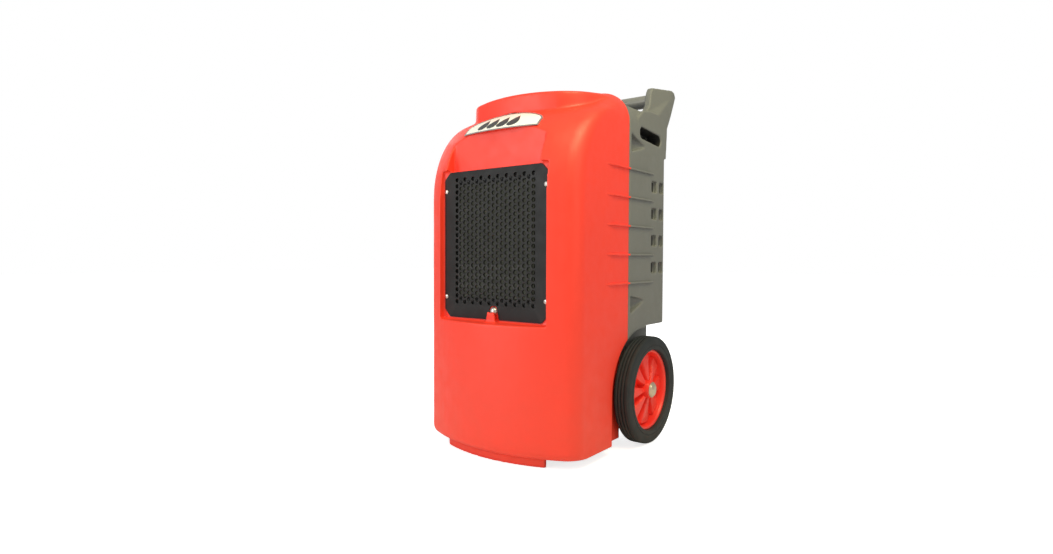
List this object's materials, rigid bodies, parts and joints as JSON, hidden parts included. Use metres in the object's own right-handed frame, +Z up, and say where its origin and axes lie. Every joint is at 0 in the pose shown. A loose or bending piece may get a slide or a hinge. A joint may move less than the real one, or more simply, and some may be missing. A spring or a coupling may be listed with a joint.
{
  "type": "dehumidifier",
  "caption": "Upright commercial dehumidifier: red and grey moulded casings, front air grille, two large wheels and a handle bar between two ears.",
  "frame": {"origin": "on the ground under the middle of the machine's whole box", "axes": "+Z up, front and grille towards -Y, +X to the right when seen from the front"},
  "size_m": [0.5736, 0.626, 1.03],
  "materials": {
    "red_casing": "moulded, satin, fine orange-peel skin",
    "grey_casing": "moulded, matt, fine grained skin",
    "coated_steel": "dark powder coat",
    "filter_foam": "open foam pad",
    "zinc": "bright zinc plate",
    "badge_white": "white label face, silver edge",
    "rubber": "matt black rubber",
    "grommet": "soft black rubber",
    "hub_red": "glossy moulded",
    "cap_beige": "plated push-on cap",
    "tube_grey": "grey painted tube",
    "galvanised": "galvanised sheet",
    "aluminium": "plain fins",
    "copper": "drawn copper",
    "black_enamel": "black enamel",
    "black_plastic": "moulded",
    "tray_plastic": "vacuum formed",
    "lamp_green": "translucent lens",
    "button_green": "moulded",
    "switch_red": "moulded"
  },
  "bodies": {
    "machine": {"accumulator": "black_enamel", "air_filter": "filter_foam", "axle": "zinc", "axle_bracket_left": "galvanised", "axle_bracket_right": "galvanised", "axle_spacer_left": "galvanised", "axle_spacer_right": "galvanised", "badge": "badge_white", "base_plate": "galvanised", "casing_bolt_1": "zinc", "casing_bolt_2": "zinc", "casing_bolt_3": "zinc", "casing_bolt_4": "zinc", "compressor": "black_enamel", "compressor_mount_1": "grommet", "compressor_mount_2": "grommet", "compressor_mount_3": "grommet", "condensate_pump": "black_plastic", "condenser_coil": "aluminium", "control_panel": "coated_steel", "discharge_pipe": "copper", "drain_tube": "black_plastic", "drip_tray": "tray_plastic", "electrical_box": "galvanised", "evaporator_coil": "aluminium", "fan_motor": "black_enamel", "fan_shroud": "galvanised", "front_casing": "red_casing", "grille_plate": "coated_steel", "grille_screw_1": "zinc", "grille_screw_2": "zinc", "grille_screw_3": "zinc", "grille_screw_4": "zinc", "grille_stud": "zinc", "handle_bar": "tube_grey", "hose_outlet": "zinc", "hour_meter": "black_plastic", "hub_cap_left": "cap_beige", "hub_cap_right": "cap_beige", "indicator_lamp": "lamp_green", "mains_inlet": "black_plastic", "motor_mount": "galvanised", "outlet_grille": "black_plastic", "panel_screw_1": "zinc", "panel_screw_2": "zinc", "panel_screw_3": "zinc", "panel_screw_4": "zinc", "rear_casing": "grey_casing", "suction_pipe": "copper"},
    "left_wheel": {"tyre_left": "rubber", "wheel_hub_left": "hub_red"},
    "right_wheel": {"tyre_right": "rubber", "wheel_hub_right": "hub_red"},
    "fan": {"fan_impeller": "black_plastic"},
    "rocker": {"power_switch": "switch_red"},
    "button": {"purge_button": "button_green"},
    "dial": {"humidistat_knob": "black_plastic"}
  },
  "joints": [
    {"name": "left_wheel_spin", "type": "hinge", "parent": "machine", "child": "left_wheel", "pos_m": [-0.2545, 0.101, 0.15], "axis": [1, 0, 0], "continuous": true},
    {"name": "right_wheel_spin", "type": "hinge", "parent": "machine", "child": "right_wheel", "pos_m": [0.2545, 0.101, 0.15], "axis": [1, 0, 0], "continuous": true},
    {"name": "fan_spin", "type": "hinge", "parent": "machine", "child": "fan", "pos_m": [0, -0.0882, 0.556], "axis": [0, 1, 0], "continuous": true},
    {"name": "rocker_tilt", "type": "hinge", "parent": "machine", "child": "rocker", "pos_m": [-0.095, 0.1983, 0.8025], "axis": [1, 0, 0], "range_deg": [-8, 8]},
    {"name": "purge_press", "type": "slide", "parent": "machine", "child": "button", "axis": [0, -1, 0], "range_m": [0, 0.004], "stiffness_N_per_m": 400, "springref_m": -0.001},
    {"name": "dial_turn", "type": "hinge", "parent": "machine", "child": "dial", "pos_m": [0, 0.2003, 0.7575], "axis": [0, 1, 0], "range_deg": [-135, 135]}
  ]
}
